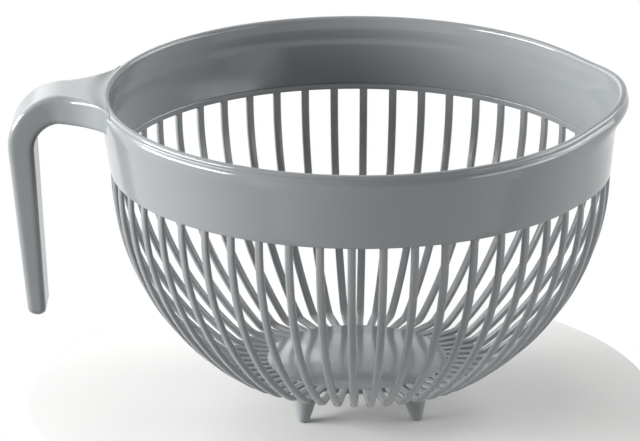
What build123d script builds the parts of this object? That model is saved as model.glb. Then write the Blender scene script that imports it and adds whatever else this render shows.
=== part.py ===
"""A ribbed colander: a bowl of fifty meridian ribs under a plain band, with a pouring lip on
+X, a hook handle on -X and four tapered feet.  Millimetres, +Z up, standing on Z = 0.  The
origin lies under the middle of the whole object, and the bowl's own axis stands at axis_x."""

import os
from math import asin, atan, cos, degrees, radians, sin, sqrt

from build123d import *

# Bowl: the ribs follow a sphere whose centre is level with the band's lower edge, set a little
# in from that edge, and turn level where their inner faces have come in to a given radius
rib_inset = 0.2
rib_turn_radius = 55.74
rib_count = 50
rib_width = 3.5
rib_depth = 2.2
rib_spans = 14
disc_radius = 45.5
disc_thickness = 2.4

# Feet: tapered pegs under the floor disc, set square and turned a little about the bowl's axis
foot_height = 18.0
foot_top_diameter = 14.0
foot_tip_diameter = 5.4
foot_edge_distance = 10.5
foot_sides = 24
foot_turn = 4.6
foot_angles = {"foot_front_right": -45, "foot_back_right": 45, "foot_back_left": 135, "foot_front_left": 225}

# Band: a leaning wall on a thin ring that carries the ribs
band_edge_radius = 107.5
band_lean = 0.16
band_wall = 2.0
band_shoulder = 0.8
ring_height = 2.8
ring_thickness = 2.4

# Rim: a bead round the band's top, drawn out and up into a pouring lip
rim_height = 33.2
rim_inset = 0.18
rim_width = 4.3
rim_depth = 5.2
rim_chamfer = 1.3
lip_bulge = 5.2
lip_edge_bulge = 2.3
lip_waist_bulge = 0.8
lip_waist_height = 20.0
lip_overhang = 0.8
lip_half_angle = 30.0
lip_rise_length = 32.0
lip_rise_radius = 160.0

# Handle: a strap that leaves the rim level, flares into it, and hangs leaning in to its tip
handle_stand_off = 39.8
handle_root_depth = 12.3
handle_bend_depth = 13.1
handle_tip_depth = 7.9
handle_length = 101.5
handle_lean = 10.0
handle_bend_radius = 22.8
handle_inner_radius = 12.5
handle_tip_round = 3.3
handle_chamfer = 1.2
handle_width = 26.0
handle_tip_width = 21.0
handle_flare_gap = 1.5

# Heights and places that follow
bowl_radius = band_edge_radius - rib_inset
bowl_depth = sqrt((bowl_radius - rib_depth) ** 2 - rib_turn_radius**2)
rim_radius = band_edge_radius + band_lean * (rim_height - rim_depth) - rim_inset
lip_reach = rim_radius + lip_bulge
lip_rise_start = lip_reach - lip_rise_length
handle_reach = rim_radius + handle_stand_off
handle_flare_start = handle_reach - handle_bend_radius - handle_flare_gap
foot_circle_radius = disc_radius - foot_edge_distance
axis_x = (handle_reach - lip_reach) / 2
disc_top = foot_height + disc_thickness
band_edge = disc_top + bowl_depth
ring_top = band_edge + ring_height
rim_top = band_edge + rim_height
rib_pitch = 360 / rib_count
front_angle = -90.0
handle_angle = 180.0
overrun = 20.0

os.makedirs("parts", exist_ok=True)


def save(piece, name):
    piece.part.label = name
    export_step(piece.part, f"parts/{name}.step")


def level(height):
    """The horizontal plane at a height, with its origin on the bowl's axis."""
    return Plane(origin=(axis_x, 0, height))


def meridian(angle):
    """The upright half plane at an angle round the bowl's axis: x runs outwards, y is height."""
    across, along = cos(radians(angle)), sin(radians(angle))
    return Plane(origin=(axis_x, 0, 0), x_dir=(across, along, 0), z_dir=(along, -across, 0))


bowl_axis = Axis((axis_x, 0, 0), (0, 0, 1))


def band_radius(height):
    """Radius of the band's outer face at a height."""
    return band_edge_radius + band_lean * (height - band_edge)


def on_circle(radius, angle):
    return (radius * cos(radians(angle)), radius * sin(radians(angle)))


def mirrored(point):
    return (point[0], -point[1])


def lip_outline(radius, bulge):
    """A round wall's plan with the pouring lip: two flanks tangent to it and a wide arc between."""
    # Share of its radius by which a tip drawn with straight flanks would stand out
    flank_share = 1 / cos(radians(lip_half_angle)) - 1
    tip_radius = radius - bulge / flank_share
    tip = radius + bulge
    start = on_circle(radius, lip_half_angle)
    on_tip = on_circle(tip_radius, lip_half_angle)
    cheek = (tip - tip_radius + on_tip[0], on_tip[1])
    ThreePointArc(start, (-radius, 0), mirrored(start))
    Line(mirrored(start), mirrored(cheek))
    ThreePointArc(mirrored(cheek), (tip, 0), cheek)
    Line(cheek, start)


def band_bulge(height):
    """Reach of the band's lip at a height: drawn in to a waist, then flaring out under the rim."""
    waist = band_edge + lip_waist_height
    top_bulge = lip_bulge - lip_overhang
    if height < waist:
        share = (height - band_edge) / lip_waist_height
        return lip_edge_bulge + share * (lip_waist_bulge - lip_edge_bulge)
    share = (height - waist) / (rim_top - waist)
    return lip_waist_bulge + share * (top_bulge - lip_waist_bulge)


def lip_section(height, inset):
    """Plan of the band at a height, drawn in by an inset."""
    with BuildSketch(level(height)) as section:
        with BuildLine():
            lip_outline(band_radius(height) - inset, band_bulge(height))
        make_face()
    return section.sketch


def band_loft(inset, mode):
    """The space inside the band's wall, drawn in by an inset, with straight sides above the waist."""
    heights = (ring_top, band_edge + lip_waist_height, rim_top)
    loft([lip_section(height, inset) for height in heights], ruled=True, mode=mode)


def above_rim(drop):
    """Side outline of the space above the rim's top line let down by a drop: level, then rising."""
    side = lip_reach + overrun
    base = rim_top - drop
    run = side - lip_rise_start
    rise = lip_rise_radius - sqrt(lip_rise_radius**2 - run**2)
    half_rise = lip_rise_radius - sqrt(lip_rise_radius**2 - (run / 2) ** 2)
    Line((-side, base), (lip_rise_start, base))
    ThreePointArc(
        (lip_rise_start, base), (lip_rise_start + run / 2, base + half_rise), (side, base + rise)
    )
    Polyline((side, base + rise), (side, rim_top + side), (-side, rim_top + side), (-side, base))


def rib_curve(radius, drop):
    """Points down a circle about the middle of the band's lower edge, ending at a given drop."""
    end_angle = degrees(asin(drop / radius))
    curve = [on_circle(radius, -end_angle * step / rib_spans) for step in range(rib_spans + 1)]
    return [(across, band_edge + up) for across, up in curve]


def rib_stretch(angle):
    """How much further than the others a rib reaches out from the floor disc, to meet the lip."""
    flank_share = 1 / cos(radians(lip_half_angle)) - 1
    tip_radius = band_edge_radius - lip_edge_bulge / flank_share
    centre = on_circle(band_edge_radius + lip_edge_bulge - tip_radius, angle)
    if centre[0] < 0:
        return 1.0
    reach = centre[0] + sqrt(tip_radius**2 - centre[1] ** 2) - rib_inset
    return max(reach - disc_radius, bowl_radius - disc_radius) / (bowl_radius - disc_radius)


def rib_outline(stretch):
    """Side of a rib: down the bowl's curve from the ring, then level to the floor disc's edge."""
    outer = rib_curve(bowl_radius, band_edge - foot_height)
    inner = rib_curve(bowl_radius - rib_depth, bowl_depth)
    curve = [*outer, (disc_radius, foot_height), (disc_radius, disc_top), *reversed(inner)]
    Polyline(*[(disc_radius + (across - disc_radius) * stretch, up) for across, up in curve], close=True)


# Ribs, numbered round from the front towards the pouring lip
for number in range(1, rib_count + 1):
    rib_angle = front_angle + rib_pitch * (number - 1)
    with BuildPart() as rib:
        with BuildSketch(meridian(rib_angle)):
            with BuildLine():
                rib_outline(rib_stretch(rib_angle))
            make_face()
        extrude(amount=rib_width / 2, both=True)
    save(rib, f"rib_{number:02d}")

# Floor disc between the ribs' ends
with BuildPart() as base_disc:
    with BuildSketch(level(foot_height)):
        Circle(disc_radius)
    extrude(amount=disc_thickness)
save(base_disc, "base_disc")

# Feet, drawn in from the floor disc to their tips
foot_draft = degrees(atan((foot_top_diameter - foot_tip_diameter) / 2 / foot_height))
for foot_name, foot_angle in foot_angles.items():
    foot_x, foot_y = on_circle(foot_circle_radius, foot_angle + foot_turn)
    foot_seat = Plane(origin=(axis_x + foot_x, foot_y, foot_height), z_dir=(0, 0, -1))
    with BuildPart() as foot:
        with BuildSketch(foot_seat):
            RegularPolygon(foot_top_diameter / 2, foot_sides)
        extrude(amount=foot_height)
        draft(foot.faces().filter_by(Axis.Z, reverse=True), foot_seat, foot_draft)
    save(foot, foot_name)

# Ring that carries the ribs and stands a little inside the band's wall
with BuildPart() as rib_ring:
    loft((lip_section(band_edge, 0), lip_section(ring_top, 0)), ruled=True)
    with BuildSketch(level(band_edge)):
        with BuildLine():
            lip_outline(band_edge_radius - ring_thickness, lip_edge_bulge)
        make_face()
    extrude(amount=ring_height, mode=Mode.SUBTRACT)
save(rib_ring, "rib_ring")

# Band: the wall leans out and its plan grows from near round into the pouring lip
with BuildPart() as band:
    band_loft(0, Mode.ADD)
    with BuildSketch(meridian(0)):
        with BuildLine():
            above_rim(rim_depth)
        make_face()
    extrude(amount=lip_reach + overrun, both=True, mode=Mode.SUBTRACT)
    top_edges = band.faces().sort_by(Axis.Z)[-2:].edges().filter_by(GeomType.LINE, reverse=True)
    chamfer(top_edges, band_shoulder)
    band_loft(band_wall, Mode.SUBTRACT)
save(band, "band")

# Rim bead, standing on the band's top edge all the way round
with BuildPart() as rim_bead:
    with BuildSketch(level(band_edge)):
        with BuildLine():
            lip_outline(rim_radius, lip_bulge)
        make_face()
        with BuildLine():
            lip_outline(rim_radius - rim_width, lip_bulge)
        make_face(mode=Mode.SUBTRACT)
    extrude(amount=rim_height + overrun)
    with BuildSketch(meridian(0)):
        with BuildLine():
            above_rim(0)
        make_face()
    extrude(amount=lip_reach + overrun, both=True, mode=Mode.SUBTRACT)
    crest_edges = rim_bead.faces().sort_by(Axis.Z)[-2:].edges().filter_by(GeomType.LINE, reverse=True)
    chamfer(crest_edges, rim_chamfer)
    with BuildSketch(meridian(0)):
        with BuildLine():
            above_rim(rim_depth)
        make_face()
    extrude(amount=lip_reach + overrun, both=True, mode=Mode.INTERSECT)
save(rim_bead, "rim_bead")

# Handle: its side outline, cut to the strap's plan and to the arm's taper, less the bowl it meets
root_under = rim_top - handle_root_depth
taper_top = root_under - handle_bend_radius
arm_end = rim_top - handle_length
bend_corner = handle_reach + handle_lean * handle_bend_radius / handle_length
tip_out = bend_corner - handle_lean
half_width = handle_width / 2
# The strap's sides flare in arcs that come to lie along a circle just inside the band's wall
flare_reach = band_radius(root_under) - band_shoulder
flare_radius = (handle_flare_start**2 + half_width**2 - flare_reach**2) / 2 / (flare_reach - half_width)
flare_share = flare_reach / (flare_reach + flare_radius)
flare_end = (-handle_flare_start * flare_share, (half_width + flare_radius) * flare_share)
root_share = 0.85
root_end = (flare_end[0] * root_share, flare_end[1] * root_share)
with BuildPart() as handle:
    with BuildSketch(meridian(handle_angle)):
        with BuildLine():
            FilletPolyline(
                (0, rim_top),
                (bend_corner, rim_top),
                (tip_out, arm_end),
                (tip_out - handle_tip_depth, arm_end),
                (bend_corner - handle_bend_depth, root_under),
                (0, root_under),
                radius=(0, handle_bend_radius, handle_tip_round, handle_tip_round, handle_inner_radius, 0),
                close=True,
            )
        make_face()
    extrude(amount=flare_end[1] + overrun, both=True)
    with BuildSketch(level(0)):
        with BuildLine():
            Polyline(flare_end, root_end, mirrored(root_end), mirrored(flare_end))
            RadiusArc(mirrored(flare_end), (-handle_flare_start, -half_width), -flare_radius)
            Polyline(
                (-handle_flare_start, -half_width),
                (-handle_reach - overrun, -half_width),
                (-handle_reach - overrun, half_width),
                (-handle_flare_start, half_width),
            )
            RadiusArc((-handle_flare_start, half_width), flare_end, -flare_radius)
        make_face()
    extrude(amount=rim_top + overrun, mode=Mode.INTERSECT)
    with BuildSketch(Plane(origin=(axis_x, 0, 0), x_dir=(0, 1, 0), z_dir=(1, 0, 0))):
        with BuildLine():
            Polyline(
                (-handle_tip_width / 2, arm_end),
                (handle_tip_width / 2, arm_end),
                (half_width, taper_top),
                (rim_radius, taper_top),
                (rim_radius, rim_top),
                (-rim_radius, rim_top),
                (-rim_radius, taper_top),
                (-half_width, taper_top),
                close=True,
            )
        make_face()
    extrude(amount=-handle_reach - overrun, mode=Mode.INTERSECT)
    outer_edges = handle.edges().filter_by(lambda edge: edge.center().X < axis_x + flare_end[0])
    chamfer(outer_edges.filter_by(Axis.Y, reverse=True).filter_by(Axis.Z, reverse=True), handle_chamfer)
    with BuildSketch(meridian(handle_angle)):
        with BuildLine():
            Polyline(
                (0, 0),
                (band_radius(0), 0),
                (band_radius(rim_top - rim_depth), rim_top - rim_depth),
                (rim_radius, rim_top - rim_depth),
                (rim_radius, rim_top + overrun),
                (0, rim_top + overrun),
                close=True,
            )
        make_face()
    revolve(axis=bowl_axis, mode=Mode.SUBTRACT)
save(handle, "handle")
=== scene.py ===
from math import asin, atan, atan2, cos, hypot, pi, radians, sin, sqrt, tan

import bmesh
import bpy
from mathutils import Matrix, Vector


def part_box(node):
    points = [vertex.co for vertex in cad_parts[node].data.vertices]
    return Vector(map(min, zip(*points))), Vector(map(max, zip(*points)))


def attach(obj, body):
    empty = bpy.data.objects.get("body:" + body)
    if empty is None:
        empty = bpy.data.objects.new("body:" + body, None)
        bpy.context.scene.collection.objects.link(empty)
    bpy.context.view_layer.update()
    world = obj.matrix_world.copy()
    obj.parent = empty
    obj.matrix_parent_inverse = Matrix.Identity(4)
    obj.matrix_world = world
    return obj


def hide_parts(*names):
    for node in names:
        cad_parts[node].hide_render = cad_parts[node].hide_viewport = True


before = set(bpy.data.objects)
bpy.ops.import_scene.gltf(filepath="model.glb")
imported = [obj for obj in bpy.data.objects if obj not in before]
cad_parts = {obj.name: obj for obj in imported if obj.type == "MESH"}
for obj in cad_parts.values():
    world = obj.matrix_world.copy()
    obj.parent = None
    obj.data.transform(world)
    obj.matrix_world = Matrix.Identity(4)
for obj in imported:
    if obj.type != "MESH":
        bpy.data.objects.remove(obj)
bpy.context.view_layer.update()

# Lengths below are in millimetres, and MM turns them into the frame's metres
MM = 0.001


def box_mm(node):
    low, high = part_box(node)
    return low / MM, high / MM


disc_low, disc_high = box_mm("base_disc")
ring_low, ring_high = box_mm("rib_ring")
bead_low, bead_high = box_mm("rim_bead")
handle_low, handle_high = box_mm("handle")

# Places that the solids give
AXIS_X = (disc_low.x + disc_high.x) / 2
DISC_RADIUS = (disc_high.x - disc_low.x) / 2
FLOOR_UNDER, FLOOR_TOP = disc_low.z, disc_high.z
BAND_EDGE, RING_TOP = ring_low.z, ring_high.z
RIM_RADIUS = (bead_high.y - bead_low.y) / 2
RIM_TOP = handle_high.z
ARM_END = handle_low.z

# Band and ring: the wall's radius at its lower edge, and how far it leans out per unit of height
EDGE_RADIUS = 107.5
BAND_LEAN = 0.16
BAND_WALL = 2.0
RING_WALL = 2.4
RING_EDGE_ROUND = 0.5
# Below the rim, the heights over which the outer and inner faces run in to the bead, and how far
# outside the bead's inner side the inner face ends
SHOULDER_BLEND = 3.5
INNER_BLEND = 8.0
INNER_STEP = 0.3

# Rim bead: its outer side is given as (out, up) from the rim's outer radius and top
RIM_WIDTH = 4.3
RIM_DEPTH = 5.2
BEAD_SHAPE = (
    (0.0, -5.2), (0.0, -4.4), (-0.04, -3.9), (-0.15, -3.45), (-0.33, -3.05), (-0.56, -2.7),
    (-0.8, -2.4), (-0.98, -2.15), (-1.04, -1.95), (-0.98, -1.75), (-0.84, -1.5),
    (-0.76, -1.2), (-0.82, -0.85), (-1.0, -0.5), (-1.28, -0.22), (-1.65, -0.05), (-2.1, 0.0),
)
# Its inner side is rounded at the top, upright to this depth and slightly slanted below
BEAD_INNER_ROUND = 1.6
BEAD_INNER_DEPTH = 3.4
BEAD_INNER_SLANT = 0.1

# Pouring lip: how far its tip stands out of the round plan at the rim, and down the wall at the
# lower edge, at the waist and at the top
LIP_HALF_ANGLE = radians(30)
LIP_BULGE = 5.18
LIP_EDGE_BULGE = 2.3
LIP_WAIST_BULGE = 0.8
LIP_WAIST_HEIGHT = 20.0
LIP_TOP_BULGE = 4.4
LIP_TOP_POWER = 1.3
# The rim rises to the lip's tip along an arc of this radius over this run
RISE_RADIUS = 160.0
RISE_RUN = 32.0

# Ribs: the bowl's radius is that of their outer faces
RIB_COUNT = 50
RIB_WIDTH = 3.5
RIB_DEPTH = 2.2
RIB_OUTER_ROUND = 1.25
RIB_INNER_ROUND = 0.55
BOWL_RADIUS = 107.3
RIB_TURN_RADIUS = 9.0
RIB_INTO_RING = 1.2
RIB_INTO_FLOOR = 0.4

# The floor ends this far inside the solids' disc, and the ribs run in to it
FLOOR_RADIUS = DISC_RADIUS - 6.0
FLOOR_EDGE_ROUND = 0.35

# Feet
FOOT_TIP_RADIUS = 2.8
FOOT_TIP_ROUND = 1.3
FOOT_LEAN = 2.0

# Handle: the bend's corner is where the strap's top and the arm's outer face would meet
HANDLE_REACH = 39.8
ARM_LENGTH = 101.5
ARM_LEAN = 10.0
BEND_RADIUS = 22.8
BEND_CORNER = RIM_RADIUS + HANDLE_REACH + ARM_LEAN * BEND_RADIUS / ARM_LENGTH
INNER_RADIUS = 12.5
ROOT_DEPTH = 12.3
BEND_DEPTH = 13.1
TIP_DEPTH = 7.9
STRAP_HALF_WIDTH = 12.3
TIP_HALF_WIDTH = 10.5
TIP_ROUND = 3.3
FLARE_START = 137.0
# How far inside the rim's radius the flares end and the strap's middle starts
FLARE_INSET = 0.75
ROOT_INSET = 2.3
# The strap's crown, the lift of its underside's edges at the root, and its edge rounds
STRAP_CROWN = 0.35
ROOT_LIFT = 2.6
ROOT_LIFT_POWER = 1.5
ROOT_EDGE_ROUND = 1.5
EDGE_ROUND_GAIN = 1.1
LEAST_FLAT = 0.05

# Mesh steps
ROUND_STEPS = 480
BAND_LEVELS = 16
RIB_BOW_STEPS = 44
RIB_TURN_STEPS = 8
RIB_LEVEL_STEPS = 3
FLOOR_STEPS = 200
FOOT_STEPS = 48
FOOT_LEVELS = 8
STRAP_FACE_STEPS = 16
STRAP_SIDE_STEPS = 4
CORNER_STEPS = 6
STRAP_STEPS = 28
ARM_STEPS = 30
TIP_STEPS = 8
TABLE_STEPS = 160


# ---------------------------------------------------------------- mesh helpers

def on_axis(radius, angle, height):
    """A point round the bowl's axis, in metres."""
    return Vector((AXIS_X + radius * cos(angle), radius * sin(angle), height)) * MM


def add_piece(name, points, faces, sharp_degrees=50):
    """An object from points in metres and their faces, smooth but for its sharp edges."""
    mesh = bpy.data.meshes.new(name)
    mesh.from_pydata([tuple(point) for point in points], [], faces)
    shape = bmesh.new()
    shape.from_mesh(mesh)
    bmesh.ops.recalc_face_normals(shape, faces=shape.faces)
    shape.to_mesh(mesh)
    shape.free()
    mesh.shade_smooth()
    mesh.set_sharp_from_angle(angle=radians(sharp_degrees))
    piece = bpy.data.objects.new(name, mesh)
    bpy.context.scene.collection.objects.link(piece)
    return piece


def skin(rows, columns, closed=False):
    """Quads over rows of points that are loops, joined end to end or capped at both ends."""
    faces = []
    for row in range(rows if closed else rows - 1):
        here, there = row * columns, (row + 1) % rows * columns
        for column in range(columns):
            after = (column + 1) % columns
            faces.append((here + column, here + after, there + after, there + column))
    if not closed:
        last = (rows - 1) * columns
        faces.append(tuple(range(columns)))
        faces.append(tuple(range(last + columns - 1, last - 1, -1)))
    return faces


def swept_round(name, section_at):
    """A ring-shaped piece: a closed section of (radius, height) points carried round the axis."""
    angles = [2 * pi * step / ROUND_STEPS for step in range(ROUND_STEPS)]
    sections = [section_at(angle) for angle in angles]
    points = [
        on_axis(radius, angle, height)
        for angle, section in zip(angles, sections)
        for radius, height in section
    ]
    return add_piece(name, points, skin(ROUND_STEPS, len(sections[0]), closed=True))


def lathe(name, centre, profile, steps, lean=(0.0, 0.0)):
    """A turned piece, closed at both ends, whose axis leans by a given run over its height."""
    low, high = profile[0][1], profile[-1][1]
    points = []
    for radius, height in profile:
        share = (high - height) / (high - low)
        for step in range(steps):
            turn = 2 * pi * step / steps
            points.append(Vector((
                centre[0] + radius * cos(turn) + lean[0] * share,
                centre[1] + radius * sin(turn) + lean[1] * share,
                height,
            )) * MM)
    return add_piece(name, points, skin(len(profile), steps))


def arc(centre, radius, start, end, count):
    """Points of an arc in a section, from one direction to another, in degrees."""
    turns = [radians(start + (end - start) * step / count) for step in range(count + 1)]
    return [(centre[0] + radius * cos(turn), centre[1] + radius * sin(turn)) for turn in turns]


def smooth_step(share):
    share = min(max(share, 0.0), 1.0)
    return share * share * (3 - 2 * share)


# ---------------------------------------------------------------- band, ring and rim

def plan_radius(angle, radius, bulge):
    """Distance from the axis to a round wall that carries the pouring lip."""
    angle = abs(atan2(sin(angle), cos(angle)))
    if angle >= LIP_HALF_ANGLE:
        return radius
    tip_radius = radius - bulge / (1 / cos(LIP_HALF_ANGLE) - 1)
    centre = radius + bulge - tip_radius
    cheek = atan2(tip_radius * sin(LIP_HALF_ANGLE), centre + tip_radius * cos(LIP_HALF_ANGLE))
    if angle >= cheek:
        return radius / cos(LIP_HALF_ANGLE - angle)
    return centre * cos(angle) + sqrt(tip_radius**2 - (centre * sin(angle)) ** 2)


def wall_radius(angle, height, inset):
    """Distance from the axis to the band's leaning wall at a height."""
    up = height - BAND_EDGE
    if up < LIP_WAIST_HEIGHT:
        bulge = LIP_EDGE_BULGE + (LIP_WAIST_BULGE - LIP_EDGE_BULGE) * up / LIP_WAIST_HEIGHT
    else:
        share = (up - LIP_WAIST_HEIGHT) / (RIM_TOP - BAND_EDGE - LIP_WAIST_HEIGHT)
        bulge = LIP_WAIST_BULGE + (LIP_TOP_BULGE - LIP_WAIST_BULGE) * share**LIP_TOP_POWER
    return plan_radius(angle, EDGE_RADIUS + BAND_LEAN * up - inset, bulge)


def rim_rise(angle):
    """How far the rim stands above its level stretch, towards the pouring lip."""
    start = RIM_RADIUS + LIP_BULGE - RISE_RUN
    run = plan_radius(angle, RIM_RADIUS - RIM_WIDTH / 2, LIP_BULGE) * cos(angle) - start
    if run <= 0:
        return 0.0
    return RISE_RADIUS - sqrt(RISE_RADIUS**2 - run**2)


def outer_wall(angle, height, top):
    """The band's outer face, which comes out flush with the rim's shoulder near its top."""
    rim = plan_radius(angle, RIM_RADIUS, LIP_BULGE)
    share = smooth_step((height - top + SHOULDER_BLEND) / SHOULDER_BLEND)
    wall = wall_radius(angle, height, 0)
    return wall + (rim - wall) * share if wall < rim else rim


def band_section(angle):
    top = RIM_TOP - RIM_DEPTH + rim_rise(angle)
    heights = [
        RING_TOP + (top - RING_TOP) * level / (BAND_LEVELS - 1) for level in range(BAND_LEVELS)]
    section = [(outer_wall(angle, height, top), height) for height in heights]
    inner_top = plan_radius(angle, RIM_RADIUS - RIM_WIDTH, LIP_BULGE)
    for height in reversed(heights):
        inside = wall_radius(angle, height, BAND_WALL)
        share = smooth_step((height - top + INNER_BLEND) / INNER_BLEND)
        section.append((inside + (inner_top + INNER_STEP - inside) * share, height))
    return section


def ring_section(angle):
    edge = RING_EDGE_ROUND
    outer, inner = wall_radius(angle, BAND_EDGE, 0), wall_radius(angle, BAND_EDGE, RING_WALL)
    section = [(wall_radius(angle, RING_TOP, 0), RING_TOP)]
    section += arc((outer - edge, BAND_EDGE + edge), edge, 0, -90, 3)
    section += arc((inner + edge, BAND_EDGE + edge), edge, -90, -180, 3)
    section += arc((inner + edge, RING_TOP - edge), edge, 180, 90, 3)
    return section


def bead_section(angle):
    """The rim: a rounded bead over a soft neck and the band's shoulder."""
    top = RIM_TOP + rim_rise(angle)
    outer = plan_radius(angle, RIM_RADIUS, LIP_BULGE)
    inner = plan_radius(angle, RIM_RADIUS - RIM_WIDTH, LIP_BULGE)
    edge = BEAD_INNER_ROUND
    section = [(outer + out, top + up) for out, up in BEAD_SHAPE]
    section += arc((inner + edge, top - edge), edge, 95, 180, CORNER_STEPS)
    section += [(inner, top - BEAD_INNER_DEPTH), (inner + BEAD_INNER_SLANT, top - RIM_DEPTH)]
    return section


# ---------------------------------------------------------------- ribs, floor and feet

def rib_path():
    """The rib's middle line as (radius, height, outward radius, outward height) stations."""
    middle = BOWL_RADIUS - RIB_DEPTH / 2
    floor_middle = (FLOOR_UNDER + FLOOR_TOP) / 2
    # The turn into the floor: a circle inside the bowl's curve and above the floor's middle
    centre_height = floor_middle + RIB_TURN_RADIUS
    drop = BAND_EDGE - centre_height
    centre_radius = sqrt((middle - RIB_TURN_RADIUS) ** 2 - drop**2)
    join = atan2(drop, centre_radius)
    stations = [(middle, BAND_EDGE + RIB_INTO_RING, 1.0, 0.0)]
    for step in range(RIB_BOW_STEPS + 1):
        angle = join * step / RIB_BOW_STEPS
        out = (cos(angle), -sin(angle))
        stations.append((middle * out[0], BAND_EDGE + middle * out[1], *out))
    for step in range(1, RIB_TURN_STEPS + 1):
        angle = join + (pi / 2 - join) * step / RIB_TURN_STEPS
        out = (cos(angle), -sin(angle))
        radius = centre_radius + RIB_TURN_RADIUS * out[0]
        stations.append((radius, centre_height + RIB_TURN_RADIUS * out[1], *out))
    last = stations[-1][0]
    for step in range(1, RIB_LEVEL_STEPS + 1):
        radius = last + (FLOOR_RADIUS - RIB_INTO_FLOOR - last) * step / RIB_LEVEL_STEPS
        stations.append((radius, floor_middle, 0.0, -1.0))
    return stations


def rib_section():
    """The rib's section as (across, outward) points: a crowned outer face, a flatter inner one."""
    half, deep = RIB_WIDTH / 2, RIB_DEPTH / 2
    outer, inner = RIB_OUTER_ROUND, RIB_INNER_ROUND
    section = arc((half - outer, deep - outer), outer, 0, 90, 5)
    section += arc((-half + outer, deep - outer), outer, 90, 180, 5)
    section += arc((-half + inner, -deep + inner), inner, 180, 270, 3)
    section += arc((half - inner, -deep + inner), inner, 270, 360, 3)
    return section


def make_rib(number, path, section):
    angle = radians(-90 + 360 / RIB_COUNT * (number - 1))
    # Ribs near the lip reach further out, as the ring does there
    reach = plan_radius(angle, EDGE_RADIUS, LIP_EDGE_BULGE) - EDGE_RADIUS + BOWL_RADIUS
    stretch = (reach - DISC_RADIUS) / (BOWL_RADIUS - DISC_RADIUS)
    side = Vector((-sin(angle), cos(angle), 0)) * MM
    points = []
    for radius, height, out_radius, out_height in path:
        for across, outward in section:
            along = DISC_RADIUS + (radius + outward * out_radius - DISC_RADIUS) * stretch
            points.append(on_axis(along, angle, height + outward * out_height) + side * across)
    return add_piece(f"rib_smooth_{number:02d}", points, skin(len(path), len(section)))


def make_floor():
    edge = FLOOR_EDGE_ROUND
    profile = [
        (FLOOR_RADIUS - edge, FLOOR_UNDER),
        (FLOOR_RADIUS, FLOOR_UNDER + edge),
        (FLOOR_RADIUS, FLOOR_TOP - edge),
        (FLOOR_RADIUS - edge / 3, FLOOR_TOP - edge / 3),
        (FLOOR_RADIUS - edge, FLOOR_TOP),
    ]
    return lathe("floor_smooth", (AXIS_X, 0.0), profile, FLOOR_STEPS)


def make_foot(node):
    """A tapered peg whose outer side is upright and whose inner side slants."""
    low, high = box_mm(node)
    middle_x, middle_y = (low.x + high.x) / 2, (low.y + high.y) / 2
    top_radius = (high.x - low.x) / 2
    lean = Vector((middle_x - AXIS_X, middle_y)).normalized() * FOOT_LEAN
    tip_centre = (FOOT_TIP_RADIUS - FOOT_TIP_ROUND, FOOT_TIP_ROUND)
    profile = arc(tip_centre, FOOT_TIP_ROUND, -90, -10, CORNER_STEPS)
    for step in range(1, FOOT_LEVELS + 1):
        share = step / FOOT_LEVELS
        radius = FOOT_TIP_RADIUS + (top_radius - FOOT_TIP_RADIUS) * share
        profile.append((radius, FOOT_TIP_ROUND + (high.z - FOOT_TIP_ROUND) * share))
    centre = (middle_x - lean.x, middle_y - lean.y)
    return lathe(node.replace("foot", "foot_smooth"), centre, profile, FOOT_STEPS, lean)


# ---------------------------------------------------------------- handle

def rounded_box(half_width, depth, edge):
    """A closed section as (across, deep) points, with rounded edges and even spacing."""
    edge = min(edge, half_width - LEAST_FLAT, depth / 2 - LEAST_FLAT)
    wide, deep = half_width - edge, depth - 2 * edge
    runs = [2 * wide * step / STRAP_FACE_STEPS for step in range(STRAP_FACE_STEPS + 1)]
    falls = [deep * step / STRAP_SIDE_STEPS for step in range(1, STRAP_SIDE_STEPS + 1)]
    points = [(-wide + run, 0.0) for run in runs]
    points += arc((wide, edge), edge, -90, 0, CORNER_STEPS)[1:]
    points += [(half_width, edge + fall) for fall in falls]
    points += arc((wide, depth - edge), edge, 0, 90, CORNER_STEPS)[1:]
    points += [(wide - run, depth) for run in runs[1:]]
    points += arc((-wide, depth - edge), edge, 90, 180, CORNER_STEPS)[1:]
    points += [(-half_width, depth - edge - fall) for fall in falls]
    points += arc((-wide, edge), edge, 180, 270, CORNER_STEPS)[1:-1]
    return points


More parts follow.
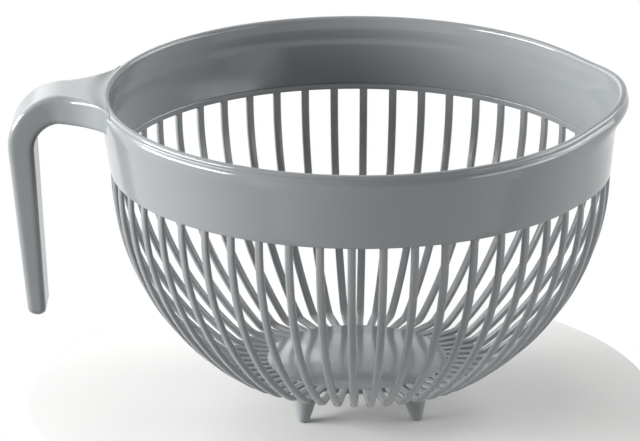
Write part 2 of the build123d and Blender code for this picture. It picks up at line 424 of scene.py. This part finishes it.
def handle_stations():
    """Sections of the hook handle, out from the rim between its flares, round the bend and down.

    Each is its outer point, inner point, half width, sideways bow and lift of the underside's
    edges, with runs measured from the bowl's axis.
    """
    under = RIM_TOP - ROOT_DEPTH
    lean_share = ARM_LEAN / (RIM_TOP - ARM_END)
    tip_out = BEND_CORNER - ARM_LEAN
    tip_in = tip_out - TIP_DEPTH
    inner_corner = BEND_CORNER - BEND_DEPTH
    lean_out = atan(lean_share)
    lean_in = atan((inner_corner - tip_in) / (under - ARM_END))
    start_out = BEND_CORNER - BEND_RADIUS * tan((pi / 2 + lean_out) / 2)
    start_in = inner_corner - INNER_RADIUS * tan((pi / 2 + lean_in) / 2)
    root = RIM_RADIUS - ROOT_INSET
    flare_reach = RIM_RADIUS - FLARE_INSET
    flare_radius = (FLARE_START**2 + STRAP_HALF_WIDTH**2 - flare_reach**2) / 2
    flare_radius /= flare_reach - STRAP_HALF_WIDTH
    flare_turn = asin(FLARE_START * (1 - flare_reach / (flare_reach + flare_radius)) / flare_radius)
    flare_end = asin((FLARE_START - start_out) / flare_radius)

    def half_width_at(run):
        if run >= FLARE_START:
            return STRAP_HALF_WIDTH
        return STRAP_HALF_WIDTH + flare_radius - sqrt(flare_radius**2 - (FLARE_START - run) ** 2)

    def bend(start, top, radius, turn):
        return start + radius * sin(turn), top - radius * (1 - cos(turn))

    stations = []
    for step in range(STRAP_STEPS + 1):
        share = step / STRAP_STEPS
        turn = flare_turn + (flare_end - flare_turn) * step / STRAP_STEPS
        side_x = FLARE_START - flare_radius * sin(turn)
        side_y = STRAP_HALF_WIDTH + flare_radius * (1 - cos(turn))
        out_x = root + (start_out - root) * share
        in_x = root + (start_in - root) * share
        crown = STRAP_CROWN * smooth_step(share * 2)
        lift = ROOT_LIFT * (1 - share) ** ROOT_LIFT_POWER
        stations.append(((out_x, RIM_TOP + crown), (in_x, under), side_y, side_x - out_x, lift))

    for step in range(1, STRAP_STEPS + 1):
        share = step / STRAP_STEPS
        outer = bend(start_out, RIM_TOP, BEND_RADIUS, (pi / 2 + lean_out) * share)
        inner = bend(start_in, under, INNER_RADIUS, (pi / 2 + lean_in) * share)
        crown = STRAP_CROWN * (1 - smooth_step(share * 2))
        stations.append(((outer[0], outer[1] + crown), inner, half_width_at(outer[0]), 0.0, 0.0))

    outer_from, inner_from, stop = stations[-1][0], stations[-1][1], ARM_END + TIP_ROUND
    end_out = (tip_out + lean_share * TIP_ROUND, stop)
    end_in = (tip_in + tan(lean_in) * TIP_ROUND, stop)
    for step in range(1, ARM_STEPS + 1):
        share = step / ARM_STEPS
        outer = tuple(a + (b - a) * share for a, b in zip(outer_from, end_out))
        inner = tuple(a + (b - a) * share for a, b in zip(inner_from, end_in))
        width = STRAP_HALF_WIDTH + (TIP_HALF_WIDTH - STRAP_HALF_WIDTH) * share
        stations.append((outer, inner, width, 0.0, 0.0))

    for step in range(1, TIP_STEPS + 1):
        turn = pi / 2 * step / TIP_STEPS
        inset, drop = TIP_ROUND * (1 - cos(turn)), TIP_ROUND * sin(turn)
        shift = lean_share * drop
        outer = (end_out[0] - shift - inset, stop - drop)
        inner = (end_in[0] - shift + inset, stop - drop)
        stations.append((outer, inner, TIP_HALF_WIDTH - inset, 0.0, 0.0))
    return stations


def make_handle():
    stations = handle_stations()
    points = []
    for index, (outer, inner, half, bow, lift) in enumerate(stations):
        depth = hypot(outer[0] - inner[0], outer[1] - inner[1])
        edge = ROOT_EDGE_ROUND + EDGE_ROUND_GAIN * smooth_step(index / STRAP_STEPS)
        for across, deep in rounded_box(half, depth, edge):
            share = deep / depth
            side = (across / half) ** 2
            x = outer[0] + (inner[0] - outer[0]) * share + bow * side
            z = outer[1] + (inner[1] - outer[1]) * share + lift * side * share
            points.append(Vector((AXIS_X - x, across, z)) * MM)
    faces = skin(len(stations), len(points) // len(stations))
    return add_piece("handle_smooth", points, faces, sharp_degrees=60)


# ---------------------------------------------------------------- materials

class Value:
    """A number socket of a shader, with the sums that the finishes use."""

    def __init__(self, nodes, socket):
        self.nodes, self.socket = nodes, socket

    def sum(self, operation, other):
        return self.nodes.value("ShaderNodeMath", {"operation": operation}, {0: self, 1: other})

    def __add__(self, other):
        return self.sum("ADD", other)

    def __sub__(self, other):
        return self.sum("SUBTRACT", other)

    def __mul__(self, other):
        return self.sum("MULTIPLY", other)


class ShaderNodes:
    """The nodes of a material or a world, each made with its settings and inputs."""

    def __init__(self, holder):
        holder.use_nodes = True
        self.tree = holder.node_tree
        self.tree.nodes.clear()

    def node(self, kind, settings, inputs):
        made = self.tree.nodes.new(kind)
        for key, value in settings.items():
            setattr(made, key, value)
        for key, value in inputs.items():
            value = value.socket if isinstance(value, Value) else value
            if isinstance(value, bpy.types.NodeSocket):
                self.tree.links.new(value, made.inputs[key])
            else:
                made.inputs[key].default_value = value
        return made

    def value(self, kind, settings, inputs):
        return Value(self, self.node(kind, settings, inputs).outputs[0])


GREY = (0.205, 0.218, 0.226)
TABLE_WHITE = (0.71, 0.71, 0.70)
WHITE = (1.0, 1.0, 1.0, 1.0)
TONE_DRIFT = 0.05
ROUGHNESS_DRIFT = 0.04


def moulded_plastic(name, roughness, skin_depth=1.0):
    """Grey moulded plastic: even colour with a faint drift, a fine skin and soft flow waves."""
    material = bpy.data.materials.new(name)
    nodes = ShaderNodes(material)
    place = nodes.node("ShaderNodeTexCoord", {}, {}).outputs["Object"]

    def noise(scale, detail, rough):
        return nodes.value("ShaderNodeTexNoise", {}, {
            "Vector": place, "Scale": scale, "Detail": detail, "Roughness": rough})

    drift, fine, waves = noise(22.0, 3.0, 0.5), noise(1500.0, 2.0, 0.6), noise(45.0, 1.0, 0.4)
    dark = (*(channel * (1 - TONE_DRIFT) for channel in GREY), 1.0)
    light = (*(channel * (1 + TONE_DRIFT) for channel in GREY), 1.0)
    # The colour mix has its factor at input 0, its colours at 6 and 7 and its result at output 2
    tint = nodes.node("ShaderNodeMix", {"data_type": "RGBA"}, {0: drift, 6: dark, 7: light})
    bump = nodes.node("ShaderNodeBump", {}, {
        "Height": waves * 0.7 + fine * (0.3 * skin_depth), "Strength": 0.06, "Distance": 0.0006})
    shader = nodes.node("ShaderNodeBsdfPrincipled", {}, {
        "Base Color": tint.outputs[2],
        "Roughness": (drift - 0.5) * ROUGHNESS_DRIFT + (fine - 0.5) * ROUGHNESS_DRIFT + roughness,
        "Normal": bump.outputs[0],
        "IOR": 1.5,
    })
    nodes.node("ShaderNodeOutputMaterial", {}, {"Surface": shader.outputs[0]})
    return material


def table_paint(name):
    material = bpy.data.materials.new(name)
    nodes = ShaderNodes(material)
    shader = nodes.node("ShaderNodeBsdfPrincipled", {}, {
        "Base Color": (*TABLE_WHITE, 1.0), "Roughness": 0.6, "Specular IOR Level": 0.2})
    nodes.node("ShaderNodeOutputMaterial", {}, {"Surface": shader.outputs[0]})
    return material


band_plastic = moulded_plastic("band_plastic", 0.12)
rim_plastic = moulded_plastic("rim_plastic", 0.12)
rib_plastic = moulded_plastic("rib_plastic", 0.22)
floor_plastic = moulded_plastic("floor_plastic", 0.14, skin_depth=0.6)
handle_plastic = moulded_plastic("handle_plastic", 0.18)
foot_plastic = moulded_plastic("foot_plastic", 0.3)


# ---------------------------------------------------------------- the pieces

def fit(piece, material, node):
    piece.data.materials.append(material)
    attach(piece, "root")
    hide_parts(node)


fit(swept_round("band_smooth", band_section), band_plastic, "band")
fit(swept_round("ring_smooth", ring_section), band_plastic, "rib_ring")
fit(swept_round("bead_smooth", bead_section), rim_plastic, "rim_bead")
path, section = rib_path(), rib_section()
for number in range(1, RIB_COUNT + 1):
    fit(make_rib(number, path, section), rib_plastic, f"rib_{number:02d}")
fit(make_floor(), floor_plastic, "base_disc")
for node in ("foot_front_right", "foot_back_right", "foot_back_left", "foot_front_left"):
    fit(make_foot(node), foot_plastic, node)
fit(make_handle(), handle_plastic, "handle")


# ---------------------------------------------------------------- table, light and camera

TABLE_CENTRE = (AXIS_X - 6.8, 1.6)
TABLE_RADIUS = 138.0
TABLE_HEIGHT = -0.1
# What the lamps face, in metres like the lamps' own places and sizes
LAMP_TARGET = Vector((0.0, 0.0, 0.08))
# The world's faint light on the object, and the white that the camera and reflections see
DIM_STRENGTH = 0.005
WHITE_STRENGTH = 1.0
CAMERA_PLACE = (AXIS_X + 50.871, -2241.673, BAND_EDGE + 775.225)
CAMERA_TURNS = (70.34461, -0.09834, 1.75468)
CAMERA_LENS = 307.065
CAMERA_SENSOR = 36.0


def make_table():
    points = []
    for step in range(TABLE_STEPS):
        turn = 2 * pi * step / TABLE_STEPS
        x = TABLE_CENTRE[0] + TABLE_RADIUS * cos(turn)
        y = TABLE_CENTRE[1] + TABLE_RADIUS * sin(turn)
        points.append(Vector((x, y, TABLE_HEIGHT)) * MM)
    return add_piece("table_top", points, [tuple(range(TABLE_STEPS))])


table = make_table()
table.data.materials.append(table_paint("table_paint"))


def soft_box(name, place, size, power):
    """A lamp panel that faces the object."""
    lamp = bpy.data.lights.new(name, "AREA")
    lamp.shape = "RECTANGLE"
    lamp.size, lamp.size_y = size
    lamp.energy = power
    held = bpy.data.objects.new(name, lamp)
    bpy.context.scene.collection.objects.link(held)
    held.location = place
    held.rotation_euler = (LAMP_TARGET - Vector(place)).to_track_quat("-Z", "Y").to_euler()


soft_box("window_low", (-1.6, -0.3, 0.46), (1.5, 0.55), 70.0)
soft_box("window_high", (-1.5, 0.0, 0.85), (1.5, 0.7), 6.0)
soft_box("back_left", (-1.1, 0.9, 1.2), (1.4, 1.1), 14.0)
soft_box("back_low", (-0.82, 1.5, 0.55), (1.45, 0.6), 3.5)
soft_box("back_right", (1.2, 0.8, 1.1), (1.1, 0.9), 15.0)
soft_box("right_side", (1.4, 0.3, 0.5), (1.1, 0.9), 9.0)
soft_box("right_front", (1.4, -0.45, 0.3), (1.2, 0.6), 9.5)
soft_box("sweep_front", (0.25, -0.9, -0.4), (3.2, 0.8), 5.4)

world = bpy.data.worlds.new("studio")
bpy.context.scene.world = world
studio = ShaderNodes(world)
rays = studio.node("ShaderNodeLightPath", {}, {})
seen = studio.value("ShaderNodeMath", {"operation": "MAXIMUM"}, {
    0: rays.outputs["Is Camera Ray"], 1: rays.outputs["Is Glossy Ray"]})
dim = studio.node("ShaderNodeBackground", {}, {"Color": WHITE, "Strength": DIM_STRENGTH})
white = studio.node("ShaderNodeBackground", {}, {"Color": WHITE, "Strength": WHITE_STRENGTH})
mix = studio.node("ShaderNodeMixShader", {}, {0: seen, 1: dim.outputs[0], 2: white.outputs[0]})
studio.node("ShaderNodeOutputWorld", {}, {"Surface": mix.outputs[0]})

camera_data = bpy.data.cameras.new("camera")
camera_data.sensor_width = CAMERA_SENSOR
camera_data.lens = CAMERA_LENS
camera = bpy.data.objects.new("camera", camera_data)
bpy.context.scene.collection.objects.link(camera)
camera.location = Vector(CAMERA_PLACE) * MM
camera.rotation_euler = [radians(turn) for turn in CAMERA_TURNS]
bpy.context.scene.camera = camera
bpy.context.scene.view_settings.view_transform = "Standard"
